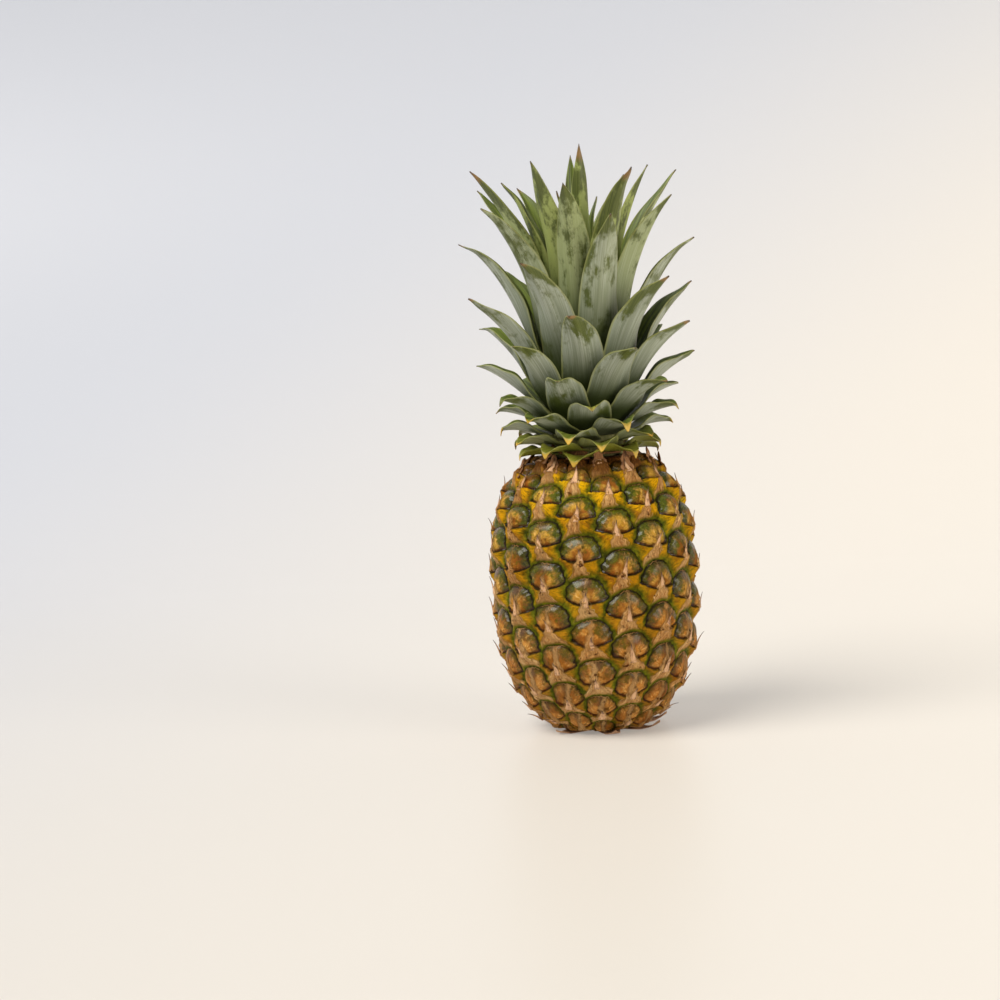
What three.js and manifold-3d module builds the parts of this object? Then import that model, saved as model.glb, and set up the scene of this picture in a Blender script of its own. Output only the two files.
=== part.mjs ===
// A whole fresh pineapple standing upright: one barrel-shaped fruit of fused eyes, the cut stalk and
// dry bracts that it stands on, and a crown of channelled leaves round a short stem.
// Millimetres, +Z up. The origin is on the surface it stands on, at the middle of the cut stalk.
// An azimuth is measured from the front (-Y) towards +X.
import * as THREE from "three";
import { mergeVertices } from "three/addons/utils/BufferGeometryUtils.js";
import Module from "manifold-3d";

const wasm = await Module();
wasm.setup();

// Driving dimensions of the fruit's barrel
const FRUIT_RADIUS = 58.6; // middle of the relief, at the widest ring
const WIDEST_Z = 85;
const SHOULDER_REACH = 81; // from the widest ring up to the pole of the shoulder's curve
const SHOULDER_POWER = 3.25;
const BASE_REACH = 91; // from the widest ring down to the pole of the base's curve
const BASE_POWER = 2.7;
const FRUIT_FLOOR = 1.5; // the fruit's own underside, held up by the stalk and its bracts
const CROWN_SEAT_Z = 160; // flat top that the crown stem stands on

// Driving dimensions of the eyes, which stand in pairs on one spiral that runs on into the crown
const PAIR_TURN = 180; // degrees between the two eyes, or leaves, of a pair
const EYE_DIVERGENCE = 67.745; // degrees from each pair to the next one up
const EYE_RISE = 3.02; // along the surface from each pair to the next, at the widest ring
const EYE_SHRINK = 0.35; // power by which that rise follows the shrinking radius
const FIRST_EYE_Z = 119.9; // pair 0
const FIRST_EYE_AZIMUTH = 11.7;
const LOWEST_PAIR = -48;
const HIGHEST_PAIR = 22;
const LOWEST_SPINE = -41; // pairs beyond these two have no spine
const HIGHEST_SPINE = 12;
const VALLEY_DEPTH = 2.4;
const DOME_HEIGHT = 1.9; // of the dome's shoulder, DOME_SHARE of the way to the valley
const DOME_SHARE = 0.6;
const FOOT_HEIGHT = 2.5; // round the foot of the spine, SPINE_SHARE of the way to the valley
const SPINE_SHARE = 0.17;
const SPINE_OUT = 4.6;
const SPINE_UP = 6.5;

// Driving dimensions of the stalk and of the dry bracts round it
const STALK_RADIUS = 13.5;
const STALK_HEIGHT = 9;
const STALK_SIDES = 20;
const BRACT_COUNT = 7;
const BRACT_WIDTH = 15;
const BRACT_THICKNESS = 0.9;
const BRACT_STATIONS = 5;
const BRACT_ROUTE = [
  // radius and height of a bract's underside, from inside the stalk to its tip
  [10, 0],
  [22, 0],
  [30, 0],
  [36, 1.4],
  [41, 4.6],
];

// Driving dimensions of the crown
const FIT_GAP = 0.3; // between solids that touch
const STEM_RADIUS = 21;
const STEM_REACH = 63;
const STEM_POWER = 1.8;
const STEM_HEIGHT = 58;
const STEM_SIDES = 24;
const STEM_RINGS = 8;
const LEAF_DIVERGENCE = 68.2;
const LEAF_RANKS = 36; // pairs of leaves
const COLLAR_RANKS = 8; // the lowest, short pairs, which are one with the stem
const FRONT_RANK = 13; // the pair with a leaf at FRONT_AZIMUTH
const FRONT_AZIMUTH = 2.5;
const LOWEST_ROOT = 1.5; // height of the first pair's roots above the crown seat
const ROOT_RISE = 1.15; // from each pair's roots to the next
const ROOT_DEPTH = 5; // how far a collar leaf's root is sunk in the stem
const ROOT_PULL = 0.4; // how far a leaf keeps its root's angle, as a share of its reach
const ROOT_CLEARANCE = 1.06; // keeps the flat-faced root of a leaf clear of the round stem
const LEAF_STATIONS = 8;
const COLLAR_STATIONS = 6;
const WIDEST_AT = 0.4; // share of a leaf's length
const WRAP = 1.1; // widest a leaf may be, in multiples of its distance from the axis
const COLLAR_WRAP = 1.5;
const CHANNEL = 0.22; // depth of the leaf's channel, as a share of its width
const ROOT_THICKNESS = 0.9;
const BLADE_THICKNESS = 1.7;
const EDGE_THICKNESS = 0.7;
const TIP_WIDTH = 0.9;
const AZIMUTH_SPREAD = 3;
const REACH_SPREAD = 0.05;
const BEND_SPREAD = 7; // degrees that a leaf's tip swings sideways
// Leaves by rank: tip radius and height above the crown seat, angles above the horizon at the root and
// the tip, how far the tip's angle reaches back as a share of the leaf's reach, width, and how late
// the width runs out towards the tip
const LEAF_FORMS = [
  { rank: 0, tipRadius: 41, tipRise: -1, rootAngle: 12, tipAngle: -32, tipPull: 0.2, width: 22, taper: 1.3 },
  { rank: 8, tipRadius: 49, tipRise: 13, rootAngle: 26, tipAngle: -18, tipPull: 0.2, width: 24, taper: 1.3 },
  { rank: 13, tipRadius: 57, tipRise: 31, rootAngle: 40, tipAngle: -2, tipPull: 0.2, width: 25, taper: 1.4 },
  { rank: 18, tipRadius: 65, tipRise: 61, rootAngle: 52, tipAngle: 14, tipPull: 0.22, width: 25, taper: 1.7 },
  { rank: 22, tipRadius: 69, tipRise: 93, rootAngle: 62, tipAngle: 30, tipPull: 0.28, width: 26, taper: 2 },
  { rank: 26, tipRadius: 67, tipRise: 137, rootAngle: 73, tipAngle: 40, tipPull: 0.34, width: 26, taper: 2.1 },
  { rank: 30, tipRadius: 61, tipRise: 162, rootAngle: 80, tipAngle: 48, tipPull: 0.36, width: 24, taper: 2.1 },
  { rank: 33, tipRadius: 42, tipRise: 165, rootAngle: 85, tipAngle: 62, tipPull: 0.36, width: 22, taper: 2.1 },
  { rank: 34, tipRadius: 18, tipRise: 175, rootAngle: 88, tipAngle: 80, tipPull: 0.36, width: 21, taper: 2 },
  { rank: 35, tipRadius: 12, tipRise: 148, rootAngle: 89, tipAngle: 82, tipPull: 0.36, width: 11, taper: 2 },
];

const radians = THREE.MathUtils.degToRad;
const GOLDEN = 0.6180339887;

// Even scatter from -1 to 1 for piece number i, the same on every run.
function scatter(i, kind) {
  const share = (i + 1) * GOLDEN + kind * 0.37;
  return 2 * (share - Math.floor(share)) - 1;
}

// The point at a distance from the axis, in the direction of an azimuth in radians.
function around(azimuth, radius, z) {
  return new THREE.Vector3(radius * Math.sin(azimuth), -radius * Math.cos(azimuth), z);
}

// The direction, out and up, at an angle in degrees above the horizon.
function heading(angle) {
  return new THREE.Vector2(Math.cos(radians(angle)), Math.sin(radians(angle)));
}

function closedGeometry(points, triangles) {
  const geometry = new THREE.BufferGeometry();
  geometry.setAttribute("position", new THREE.Float32BufferAttribute(points.flatMap((p) => [...p]), 3));
  geometry.setIndex(triangles.flat());
  return geometry;
}

// Joining and cutting

function solidOf(geometry) {
  const bare = geometry.clone();
  bare.deleteAttribute("normal");
  bare.deleteAttribute("uv");
  const merged = mergeVertices(bare, 1e-4);
  return new wasm.Manifold(
    new wasm.Mesh({
      numProp: 3,
      vertProperties: new Float32Array(merged.attributes.position.array),
      triVerts: new Uint32Array(merged.index.array),
    }),
  );
}

function geometryOf(solid) {
  const mesh = solid.getMesh();
  const geometry = new THREE.BufferGeometry();
  geometry.setAttribute("position", new THREE.BufferAttribute(mesh.vertProperties, 3));
  geometry.setIndex(new THREE.BufferAttribute(mesh.triVerts, 1));
  return geometry;
}

function uprightCylinder(radius, bottom, top, sides) {
  return new THREE.CylinderGeometry(radius, radius, top - bottom, sides)
    .rotateX(Math.PI / 2)
    .translate(0, 0, (bottom + top) / 2);
}

// The fruit

function barrelRadius(z) {
  const [reach, power] = z > WIDEST_Z ? [SHOULDER_REACH, SHOULDER_POWER] : [BASE_REACH, BASE_POWER];
  return FRUIT_RADIUS * Math.sqrt(Math.max(0, 1 - Math.abs((z - WIDEST_Z) / reach) ** power));
}

// Steps up the barrel, each with the pair number that the eyes have reached there.
const barrel = [];
{
  const step = 0.1;
  const low = WIDEST_Z - BASE_REACH + step;
  const high = WIDEST_Z + SHOULDER_REACH - step;
  let pair = 0;
  for (let z = low; z <= high; z += step) {
    const radius = barrelRadius(z);
    const last = barrel.at(-1);
    if (last) {
      const rise = EYE_RISE * Math.pow(radius / FRUIT_RADIUS, EYE_SHRINK);
      pair += Math.hypot(radius - last.radius, z - last.z) / rise;
    }
    barrel.push({ z, radius, pair });
  }
  const zero = barrel.find((p) => p.z >= FIRST_EYE_Z).pair;
  barrel.forEach((p) => (p.pair -= zero));
}

// Radius, height and outward slope of the barrel where the eyes reach a pair number, whole or not.
function barrelAt(pair) {
  const found = barrel.findIndex((p) => p.pair >= pair);
  const i = THREE.MathUtils.clamp(found < 0 ? barrel.length - 1 : found, 1, barrel.length - 1);
  const [a, b] = [barrel[i - 1], barrel[i]];
  const share = THREE.MathUtils.clamp((pair - a.pair) / (b.pair - a.pair), 0, 1);
  const along = new THREE.Vector2(b.radius - a.radius, b.z - a.z).normalize();
  return {
    radius: THREE.MathUtils.lerp(a.radius, b.radius, share),
    z: THREE.MathUtils.lerp(a.z, b.z, share),
    along,
    out: new THREE.Vector2(along.y, -along.x),
  };
}

// Eyes lie on a lattice: one step of a is 3 pairs up to the left, one step of b is 5 pairs up to the right.
const STEP_A = { pairs: 3, turn: PAIR_TURN - 3 * EYE_DIVERGENCE };
const STEP_B = { pairs: 5, turn: 2 * PAIR_TURN - 5 * EYE_DIVERGENCE };
const WRAP_A = 10; // this many steps of a, less WRAP_B steps of b, lead once round the fruit
const WRAP_B = 6;

// Corners and edge middles of one eye's six-sided cell, clockwise from outside, in sixths of a and b.
const CELL_RIM = [
  [3, 0], [4, 2], [3, 3], [2, 4], [0, 3], [-2, 2],
  [-3, 0], [-4, -2], [-3, -3], [-2, -4], [0, -3], [2, -2],
];

// A point of the fruit's skin at lattice steps a and b, raised by out and shifted up along the skin.
function skinPoint(a, b, out, up = 0) {
  const place = barrelAt(STEP_A.pairs * a + STEP_B.pairs * b);
  const azimuth = radians(FIRST_EYE_AZIMUTH + STEP_A.turn * a + STEP_B.turn * b);
  const radius = place.radius + place.out.x * out + place.along.x * up;
  const z = place.z + place.out.y * out + place.along.y * up;
  return around(azimuth, radius, Math.max(z, FRUIT_FLOOR));
}

// The skin is a band of whole cells, one for each eye, closed at both ends by a fan to the axis.
// Each cell rises from the valley round it to a dome, and from the dome to the tip of its spine.
function fruitGeometry() {
  const points = [];
  const triangles = [];
  const rim = new Map();
  const edges = new Map();
  const addPoint = (point) => points.push(point) - 1;
  const rimPoint = (i, j) => {
    const turns = Math.floor(i / (6 * WRAP_A));
    const key = `${i - turns * 6 * WRAP_A},${j + turns * 6 * WRAP_B}`;
    if (!rim.has(key)) rim.set(key, addPoint(skinPoint(i / 6, j / 6, -VALLEY_DEPTH)));
    return rim.get(key);
  };
  for (let pair = LOWEST_PAIR; pair <= HIGHEST_PAIR; pair++) {
    for (const side of [0, 1]) {
      const [a, b] = [2 * pair + 5 * side, -pair - 3 * side];
      const ring = (share, out, corners) =>
        corners.map(([i, j]) => addPoint(skinPoint(a + (share * i) / 6, b + (share * j) / 6, out)));
      const valley = CELL_RIM.map(([i, j]) => rimPoint(6 * a + i, 6 * b + j));
      const dome = ring(DOME_SHARE, DOME_HEIGHT, CELL_RIM);
      const foot = ring(SPINE_SHARE, FOOT_HEIGHT, CELL_RIM.filter((_, k) => k % 2 === 0));
      const isSpined = pair >= LOWEST_SPINE && pair <= HIGHEST_SPINE;
      const tip = addPoint(isSpined ? skinPoint(a, b, SPINE_OUT, SPINE_UP) : skinPoint(a, b, FOOT_HEIGHT));
      for (let k = 0; k < 12; k++) {
        const next = (k + 1) % 12;
        triangles.push([valley[k], dome[k], valley[next]], [dome[k], dome[next], valley[next]]);
        edges.set(`${valley[next]},${valley[k]}`, [valley[next], valley[k]]);
      }
      for (let k = 0; k < 6; k++) {
        const next = (k + 1) % 6;
        const [near, middle, far] = [dome[2 * k], dome[2 * k + 1], dome[2 * next]];
        triangles.push([near, foot[k], middle], [foot[k], foot[next], middle], [middle, foot[next], far]);
        triangles.push([foot[k], tip, foot[next]]);
      }
    }
  }
  const ends = [...edges.values()].filter(([from, to]) => !edges.has(`${to},${from}`));
  const lowest = addPoint(new THREE.Vector3(0, 0, FRUIT_FLOOR));
  const highest = addPoint(new THREE.Vector3(0, 0, WIDEST_Z + SHOULDER_REACH));
  ends.forEach(([from, to]) => triangles.push([to, from, points[from].z < WIDEST_Z ? lowest : highest]));
  return closedGeometry(points, triangles);
}

function fruit() {
  const aboveSeat = new THREE.BoxGeometry(200, 200, 60).translate(0, 0, CROWN_SEAT_Z + 30);
  const socket = uprightCylinder(STALK_RADIUS + FIT_GAP, -5, STALK_HEIGHT + FIT_GAP, STALK_SIDES);
  return geometryOf(solidOf(fruitGeometry()).subtract(solidOf(aboveSeat)).subtract(solidOf(socket)));
}

// Blades, for leaves and bracts: a closed skin round stations of three points on each face

function bladeGeometry(stationAt, stations) {
  const points = [];
  const triangles = [];
  for (let i = 0; i <= stations; i++) {
    const { upper, lower } = stationAt(i / stations);
    points.push(...upper, ...lower.toReversed());
  }
  const around6 = 6;
  for (let i = 0; i < stations; i++) {
    for (let j = 0; j < around6; j++) {
      const p = i * around6 + j;
      const q = i * around6 + ((j + 1) % around6);
      const [r, s] = [q + around6, p + around6];
      // both faces are split along mirrored diagonals, so that they stay parallel
      const mirrored = j === 0 || j === 4;
      if (mirrored) triangles.push([p, s, q], [q, s, r]);
      else triangles.push([p, r, q], [p, s, r]);
    }
  }
  const last = stations * around6;
  const cap = [[0, 4, 5], [0, 1, 4], [1, 3, 4], [1, 2, 3]];
  cap.forEach(([a, b, c]) => triangles.push([a, b, c], [last + c, last + b, last + a]));
  return closedGeometry(points, triangles);
}

// The stalk, with the dry bracts that spread from it under the fruit

function bract(i) {
  const route = new THREE.CatmullRomCurve3(BRACT_ROUTE.map(([r, z]) => new THREE.Vector3(r, 0, z)));
  const azimuth = radians((360 / BRACT_COUNT) * (i + 0.2 * scatter(i, 1)));
  const reach = 0.9 + 0.1 * scatter(i, 2);
  return bladeGeometry((share) => {
    const place = route.getPoint(share * reach);
    const half = (BRACT_WIDTH / 2) * (1 - share ** 1.4) + TIP_WIDTH / 2;
    const face = (lift) =>
      [-1, 0, 1].map((side) => around(azimuth + (side * half) / place.x, place.x, place.z + lift));
    return { upper: face(BRACT_THICKNESS), lower: face(0) };
  }, BRACT_STATIONS);
}

function stalk() {
  const stub = solidOf(uprightCylinder(STALK_RADIUS, 0, STALK_HEIGHT, STALK_SIDES));
  const bracts = Array.from({ length: BRACT_COUNT }, (_, i) => solidOf(bract(i)));
  return geometryOf(bracts.reduce((joined, one) => joined.add(one), stub));
}

// The crown

function stemRadius(height) {
  return STEM_RADIUS * (1 - (height / STEM_REACH) ** STEM_POWER);
}

function leafForm(rank) {
  const next = Math.max(1, LEAF_FORMS.findIndex((form) => form.rank >= rank));
  const [a, b] = [LEAF_FORMS[next - 1], LEAF_FORMS[next]];
  const share = (rank - a.rank) / (b.rank - a.rank);
  return Object.fromEntries(Object.keys(a).map((k) => [k, THREE.MathUtils.lerp(a[k], b[k], share)]));
}

// A leaf lies on a surface of revolution of its own rank, one inside the other, so no two cross.
function leaf(rank, side, isCollar) {
  const form = leafForm(rank);
  const number = 2 * rank + side;
  const reach = 1 + REACH_SPREAD * scatter(number, 3);
  const root = LOWEST_ROOT + ROOT_RISE * rank;
  const clear = ROOT_CLEARANCE * (stemRadius(root) + FIT_GAP + ROOT_THICKNESS / 2);
  const start = new THREE.Vector2(clear, root);
  if (isCollar) start.sub(heading(form.rootAngle).multiplyScalar(ROOT_DEPTH));
  const tip = new THREE.Vector2(form.tipRadius, form.tipRise).sub(start).multiplyScalar(reach).add(start);
  const chord = start.distanceTo(tip);
  const spine = new THREE.CubicBezierCurve(
    start,
    start.clone().add(heading(form.rootAngle).multiplyScalar(ROOT_PULL * chord)),
    tip.clone().sub(heading(form.tipAngle).multiplyScalar(form.tipPull * chord)),
    tip,
  );
  const turn = LEAF_DIVERGENCE * (FRONT_RANK - rank) + PAIR_TURN * side;
  const azimuth = radians(FRONT_AZIMUTH + turn + AZIMUTH_SPREAD * scatter(number, 4));
  const swing = radians(BEND_SPREAD * scatter(number, 5));
  const wrap = isCollar ? COLLAR_WRAP : WRAP;
  return bladeGeometry((share) => {
    const place = spine.getPoint(share);
    const tangent = spine.getTangent(share);
    const radius = place.x;
    const past = Math.max(0, (share - WIDEST_AT) / (1 - WIDEST_AT));
    const width = Math.min(form.width * (1 - past ** form.taper), wrap * radius) + TIP_WIDTH;
    const open = THREE.MathUtils.smoothstep(share, 0.25, 0.6);
    const grown = THREE.MathUtils.smoothstep(share, 0.05, 0.35);
    const middle = THREE.MathUtils.lerp(ROOT_THICKNESS, BLADE_THICKNESS * (1 - past / 2), grown);
    const face = (above) =>
      [-1, 0, 1].map((v) => {
        const thickness = v ? EDGE_THICKNESS : middle;
        const lift = CHANNEL * width * open * Math.abs(v) + (above ? thickness / 2 : -thickness / 2);
        const turned = azimuth + swing * share ** 2 + (v * width) / 2 / radius;
        return around(turned, radius - tangent.y * lift, CROWN_SEAT_Z + place.y + tangent.x * lift);
      });
    return { upper: face(true), lower: face(false) };
  }, isCollar ? COLLAR_STATIONS : LEAF_STATIONS);
}

function crownStem() {
  const profile = [new THREE.Vector2(0, FIT_GAP)];
  for (let i = 0; i <= STEM_RINGS; i++) {
    const height = FIT_GAP + ((STEM_HEIGHT - FIT_GAP) * i) / STEM_RINGS;
    profile.push(new THREE.Vector2(stemRadius(height), height));
  }
  profile.push(new THREE.Vector2(0, STEM_HEIGHT));
  const core = new THREE.LatheGeometry(profile, STEM_SIDES).rotateX(Math.PI / 2);
  let joined = solidOf(core.translate(0, 0, CROWN_SEAT_Z));
  for (let rank = 0; rank < COLLAR_RANKS; rank++) {
    for (const side of [0, 1]) joined = joined.add(solidOf(leaf(rank, side, true)));
  }
  return geometryOf(joined);
}

// Materials and assembly

const finish = (color, roughness) => new THREE.MeshStandardMaterial({ color, roughness, metalness: 0 });
const rind = finish("#9a7030", 0.55);
const dryStalk = finish("#c8a987", 0.9);
const greenLeaf = finish("#6f8668", 0.5);
const collarLeaf = finish("#7d8a45", 0.5);

const pineapple = new THREE.Group();
function place(name, geometry, material) {
  const mesh = new THREE.Mesh(geometry, material);
  mesh.name = name;
  pineapple.add(mesh);
}

place("fruit", fruit(), rind);
place("stalk", stalk(), dryStalk);
place("crown_stem", crownStem(), collarLeaf);
for (let rank = COLLAR_RANKS; rank < LEAF_RANKS; rank++) {
  for (const side of [0, 1]) {
    const number = 2 * (rank - COLLAR_RANKS) + side + 1;
    place(`leaf_${String(number).padStart(2, "0")}`, leaf(rank, side, false), greenLeaf);
  }
}

export default pineapple;
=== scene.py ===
import math

import bpy
import numpy as np
from mathutils import Matrix, Vector


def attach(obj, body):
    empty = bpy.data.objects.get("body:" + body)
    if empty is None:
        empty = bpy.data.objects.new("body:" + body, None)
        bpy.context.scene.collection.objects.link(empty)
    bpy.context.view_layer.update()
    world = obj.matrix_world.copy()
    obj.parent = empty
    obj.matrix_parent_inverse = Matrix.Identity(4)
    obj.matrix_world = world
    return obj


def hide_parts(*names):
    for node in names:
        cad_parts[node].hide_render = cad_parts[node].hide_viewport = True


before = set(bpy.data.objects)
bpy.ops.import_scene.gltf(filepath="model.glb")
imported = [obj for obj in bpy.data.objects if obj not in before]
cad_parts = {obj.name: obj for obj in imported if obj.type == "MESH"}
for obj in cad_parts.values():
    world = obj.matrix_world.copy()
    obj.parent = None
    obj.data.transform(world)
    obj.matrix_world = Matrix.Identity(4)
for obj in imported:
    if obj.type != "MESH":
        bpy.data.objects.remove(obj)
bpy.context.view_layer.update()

# The fruit is one fleshy body, grown from a spiral of flowers that fused as they swelled.
# Each flower left an eye on its waxy rind: a green dome above a smile-shaped crease, and below the
# crease the ochre foot of the bract that once covered the flower.
MM = 0.001  # lengths are in millimetres and angles in degrees, and the meshes are in metres
FRUIT_RADIUS = 58.6
WIDEST_Z = 85
SHOULDER_REACH = 81
SHOULDER_POWER = 3.25
BASE_REACH = 91
BASE_POWER = 2.7
FRUIT_FLOOR = 1.5
CROWN_SEAT_Z = 160
PAIR_TURN = 180
EYE_DIVERGENCE = 67.745
EYE_RISE = 3.02
EYE_SHRINK = 0.35
FIRST_EYE_Z = 119.9
FIRST_EYE_AZIMUTH = 11.7
LOWEST_PAIR = -48
HIGHEST_PAIR = 22
EYE_STEPS = 26
VALLEY = -2.4
DOME_HALF_WIDTH = 12.0
DOME_LENGTH = 14.6
DOME_TOP = 2.4
CREASE_SMILE = 2.4
CREASE_REACH = 14
CREASE_DEPTH = 2.2
RIM_POWER = 2.2
LIP = 2.5
PAPER_HALF_WIDTH = 2.3
PAPER_LENGTH = 8.5
ASKEW = 0.022
FINE_ASKEW = 0.007

barrel_z = np.arange(WIDEST_Z - BASE_REACH + 0.1, WIDEST_Z + SHOULDER_REACH, 0.1)
barrel_reach = np.where(barrel_z > WIDEST_Z, SHOULDER_REACH, BASE_REACH)
barrel_power = np.where(barrel_z > WIDEST_Z, SHOULDER_POWER, BASE_POWER)
barrel_share = np.abs((barrel_z - WIDEST_Z) / barrel_reach) ** barrel_power
barrel_r = FRUIT_RADIUS * np.sqrt(np.maximum(0, 1 - barrel_share))
barrel_step = np.hypot(np.diff(barrel_r), np.diff(barrel_z))
barrel_rise = EYE_RISE * (barrel_r[1:] / FRUIT_RADIUS) ** EYE_SHRINK
barrel_pair = np.concatenate([[0], np.cumsum(barrel_step / barrel_rise)])
barrel_pair -= np.interp(FIRST_EYE_Z, barrel_z, barrel_pair)
barrel_slope = np.arctan2(np.gradient(barrel_z), np.gradient(barrel_r))

# one step of a leads 3 pairs up to the left, one step of b leads 5 pairs up to the right
TURN_A = math.radians(PAIR_TURN - 3 * EYE_DIVERGENCE)
TURN_B = math.radians(2 * PAIR_TURN - 5 * EYE_DIVERGENCE)


def chance(number, kind):
    """Uneven scatter from 0 to 1 for piece number, the same on every run."""
    wave = np.sin(number * 12.9898 + kind * 78.233) * 43758.5453
    return wave - np.floor(wave)


def smooth(value, low, high):
    share = np.clip((value - low) / (high - low), 0, 1)
    return share * share * (3 - 2 * share)


def skin_places(a, b, out, up=0, top=CROWN_SEAT_Z):
    """Points of the fruit's skin at lattice steps a and b, raised by out and moved up along the skin."""
    pair = 3 * a + 5 * b
    slope = np.interp(pair, barrel_pair, barrel_slope)
    radius = np.interp(pair, barrel_pair, barrel_r) + np.sin(slope) * out + np.cos(slope) * up
    z = np.interp(pair, barrel_pair, barrel_z) - np.cos(slope) * out + np.sin(slope) * up
    azimuth = math.radians(FIRST_EYE_AZIMUTH) + TURN_A * a + TURN_B * b
    z = np.clip(z, FRUIT_FLOOR, top)
    return np.stack([radius * np.sin(azimuth), -radius * np.cos(azimuth), z], axis=-1)


def eye_place(pair, side):
    """Lattice steps of the eye of that pair on that side."""
    return 2 * pair + 5 * side, -pair - 3 * side


def grown_askew(a, b):
    """Lattice steps moved a little from place to place, so that no two eyes are alike."""
    turn = TURN_A * a + TURN_B * b
    pair = 3 * a + 5 * b
    a_waves = np.sin(9 * turn + 0.9 * pair) + 0.7 * np.sin(23 * turn - 1.7 * pair + 2)
    b_waves = np.sin(11 * turn - 0.8 * pair + 1) + 0.7 * np.sin(27 * turn + 1.9 * pair + 5)
    fine = np.sin(53 * turn + 3.1 * pair) + np.sin(67 * turn - 4.3 * pair + 3)
    return a + ASKEW * a_waves + FINE_ASKEW * fine, b + ASKEW * b_waves - FINE_ASKEW * fine


def eye_fields(a, b):
    """What the rind is at lattice steps a and b: how far inside a dome, and where on its own eye."""
    a, b = grown_askew(a, b)
    near = [(i, j) for i in range(-2, 3) for j in range(-2, 3)]
    eye_a = np.stack([np.round(a) + i for i, _ in near])
    eye_b = np.stack([np.round(b) + j for _, j in near])
    side = FRUIT_RADIUS * (TURN_A * (a - eye_a) + TURN_B * (b - eye_b))
    above = EYE_RISE * (3 * (a - eye_a) + 5 * (b - eye_b))
    drop = above - CREASE_SMILE * (np.minimum(np.abs(side), CREASE_REACH) / DOME_HALF_WIDTH) ** 2
    rim = np.abs(side / DOME_HALF_WIDTH) ** RIM_POWER + (np.maximum(drop, 0) / DOME_LENGTH) ** RIM_POWER
    rim = rim ** (1 / RIM_POWER)
    inside = np.minimum((1 - rim) * DOME_HALF_WIDTH, drop)
    field = inside.max(axis=0)
    below = np.where(drop <= 0, np.hypot(side, 1.1 * drop), np.inf)
    owner = np.where(field > 0, inside.argmax(axis=0), below.argmin(axis=0))[None]
    others = np.minimum((1 - rim) * DOME_HALF_WIDTH, drop + 4)
    np.put_along_axis(others, owner, -99, axis=0)

    def own(values):
        return np.take_along_axis(values, owner, axis=0)[0]

    pair = own(3 * eye_a + 5 * eye_b)
    number = 2 * pair + np.mod((own(eye_a) - 2 * pair) // 5, 2)
    lean = 0.5 * (chance(number, 5) - 0.5)
    broad = PAPER_HALF_WIDTH * (1 + 1.1 * smooth(pair, 9, 14))
    spread = 0.32 + 0.5 * smooth(pair, -6, -36)
    fan = broad - spread * np.minimum(own(drop), 0)
    wedge = fan * (1 - np.clip(own(drop) / PAPER_LENGTH, 0, 1))
    return {
        "field": field,
        "side": own(side),
        "drop": own(drop),
        "rim": own(rim),
        "valley": np.maximum(0, -others.max(axis=0)),
        "paper": wedge - np.abs(own(side) - lean * own(drop)),
        "number": number,
        "vigour": 0.55 + 0.45 * smooth(pair, -42, -8),
    }


def rind_relief(eye):
    """Height of the rind above the barrel: domes, the lips of the bracts over them, and their fibres."""
    size = (0.8 + 0.4 * chance(eye["number"], 1)) * eye["vigour"]
    low = VALLEY * eye["vigour"]
    dome = low + (DOME_TOP * size - low) * np.maximum(0, 1 - eye["rim"] ** 2.6) ** 0.6
    web = smooth(eye["paper"], -0.9, 0.9)
    ridge = dome + 0.75 * (1 - np.clip(eye["drop"] / PAPER_LENGTH, 0, 1))
    dome -= CREASE_DEPTH * eye["vigour"] * np.exp(-np.maximum(eye["drop"], 0) / 2.3)
    width = np.maximum(0, 1 - (eye["side"] / 14.5) ** 2)
    crest = 0.4 + LIP * size * width * np.exp(np.minimum(eye["drop"], 0) / 5)
    bract = low + (crest - low) * smooth(eye["valley"], -0.6, 6.5)
    angle = np.arctan2(eye["drop"] - 1, eye["side"])
    fibre = np.arctan2(eye["side"], 11 - eye["drop"])
    ridges = np.cos(44 * fibre + 6 * chance(eye["number"], 2)) + 0.7 * np.cos(71 * fibre + eye["number"])
    ridge += 0.22 * ridges
    bract += web * (0.35 + 0.3 * ridges * smooth(eye["valley"], 0, 3))
    dome += 0.06 * np.cos(23 * angle + eye["number"]) * smooth(eye["rim"], 0.1, 0.5)
    dome += web * (ridge - dome)
    return np.where(eye["field"] > 0, dome, bract)


def mesh_piece(name, points, faces, fields, material):
    """A smooth-shaded mesh object with points in millimetres and named values at each point."""
    mesh = bpy.data.meshes.new(name)
    mesh.from_pydata((np.asarray(points) * MM).tolist(), [], faces)
    for field, values in fields.items():
        attribute = mesh.attributes.new(field, "FLOAT", "POINT")
        attribute.data.foreach_set("value", np.asarray(values, dtype=np.float32))
    mesh.polygons.foreach_set("use_smooth", [True] * len(mesh.polygons))
    mesh.materials.append(material)
    mesh.validate()
    piece = bpy.data.objects.new(name, mesh)
    bpy.context.scene.collection.objects.link(piece)
    return piece


def put(tree, kind, inputs=(), **settings):
    """A node of that kind, with settings, and with each input set to a value or linked to a socket."""
    made = tree.nodes.new(kind)
    for name, value in settings.items():
        setattr(made, name, value)
    for name, value in dict(inputs).items():
        if isinstance(value, bpy.types.NodeSocket):
            tree.links.new(value, made.inputs[name])
        else:
            made.inputs[name].default_value = value
    return made


def paint(code):
    """A hex paint code as a linear colour."""
    shares = [int(code[i:i + 2], 16) / 255 for i in (1, 3, 5)]
    return (*[s / 12.92 if s <= 0.04045 else ((s + 0.055) / 1.055) ** 2.4 for s in shares], 1)


def surface_value(tree, name):
    return put(tree, "ShaderNodeAttribute", attribute_type="GEOMETRY", attribute_name=name).outputs["Fac"]


def reckon(tree, operation, first, second=0.0):
    return put(tree, "ShaderNodeMath", {0: first, 1: second}, operation=operation).outputs[0]


def times(tree, first, second):
    return reckon(tree, "MULTIPLY", first, second)


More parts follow.
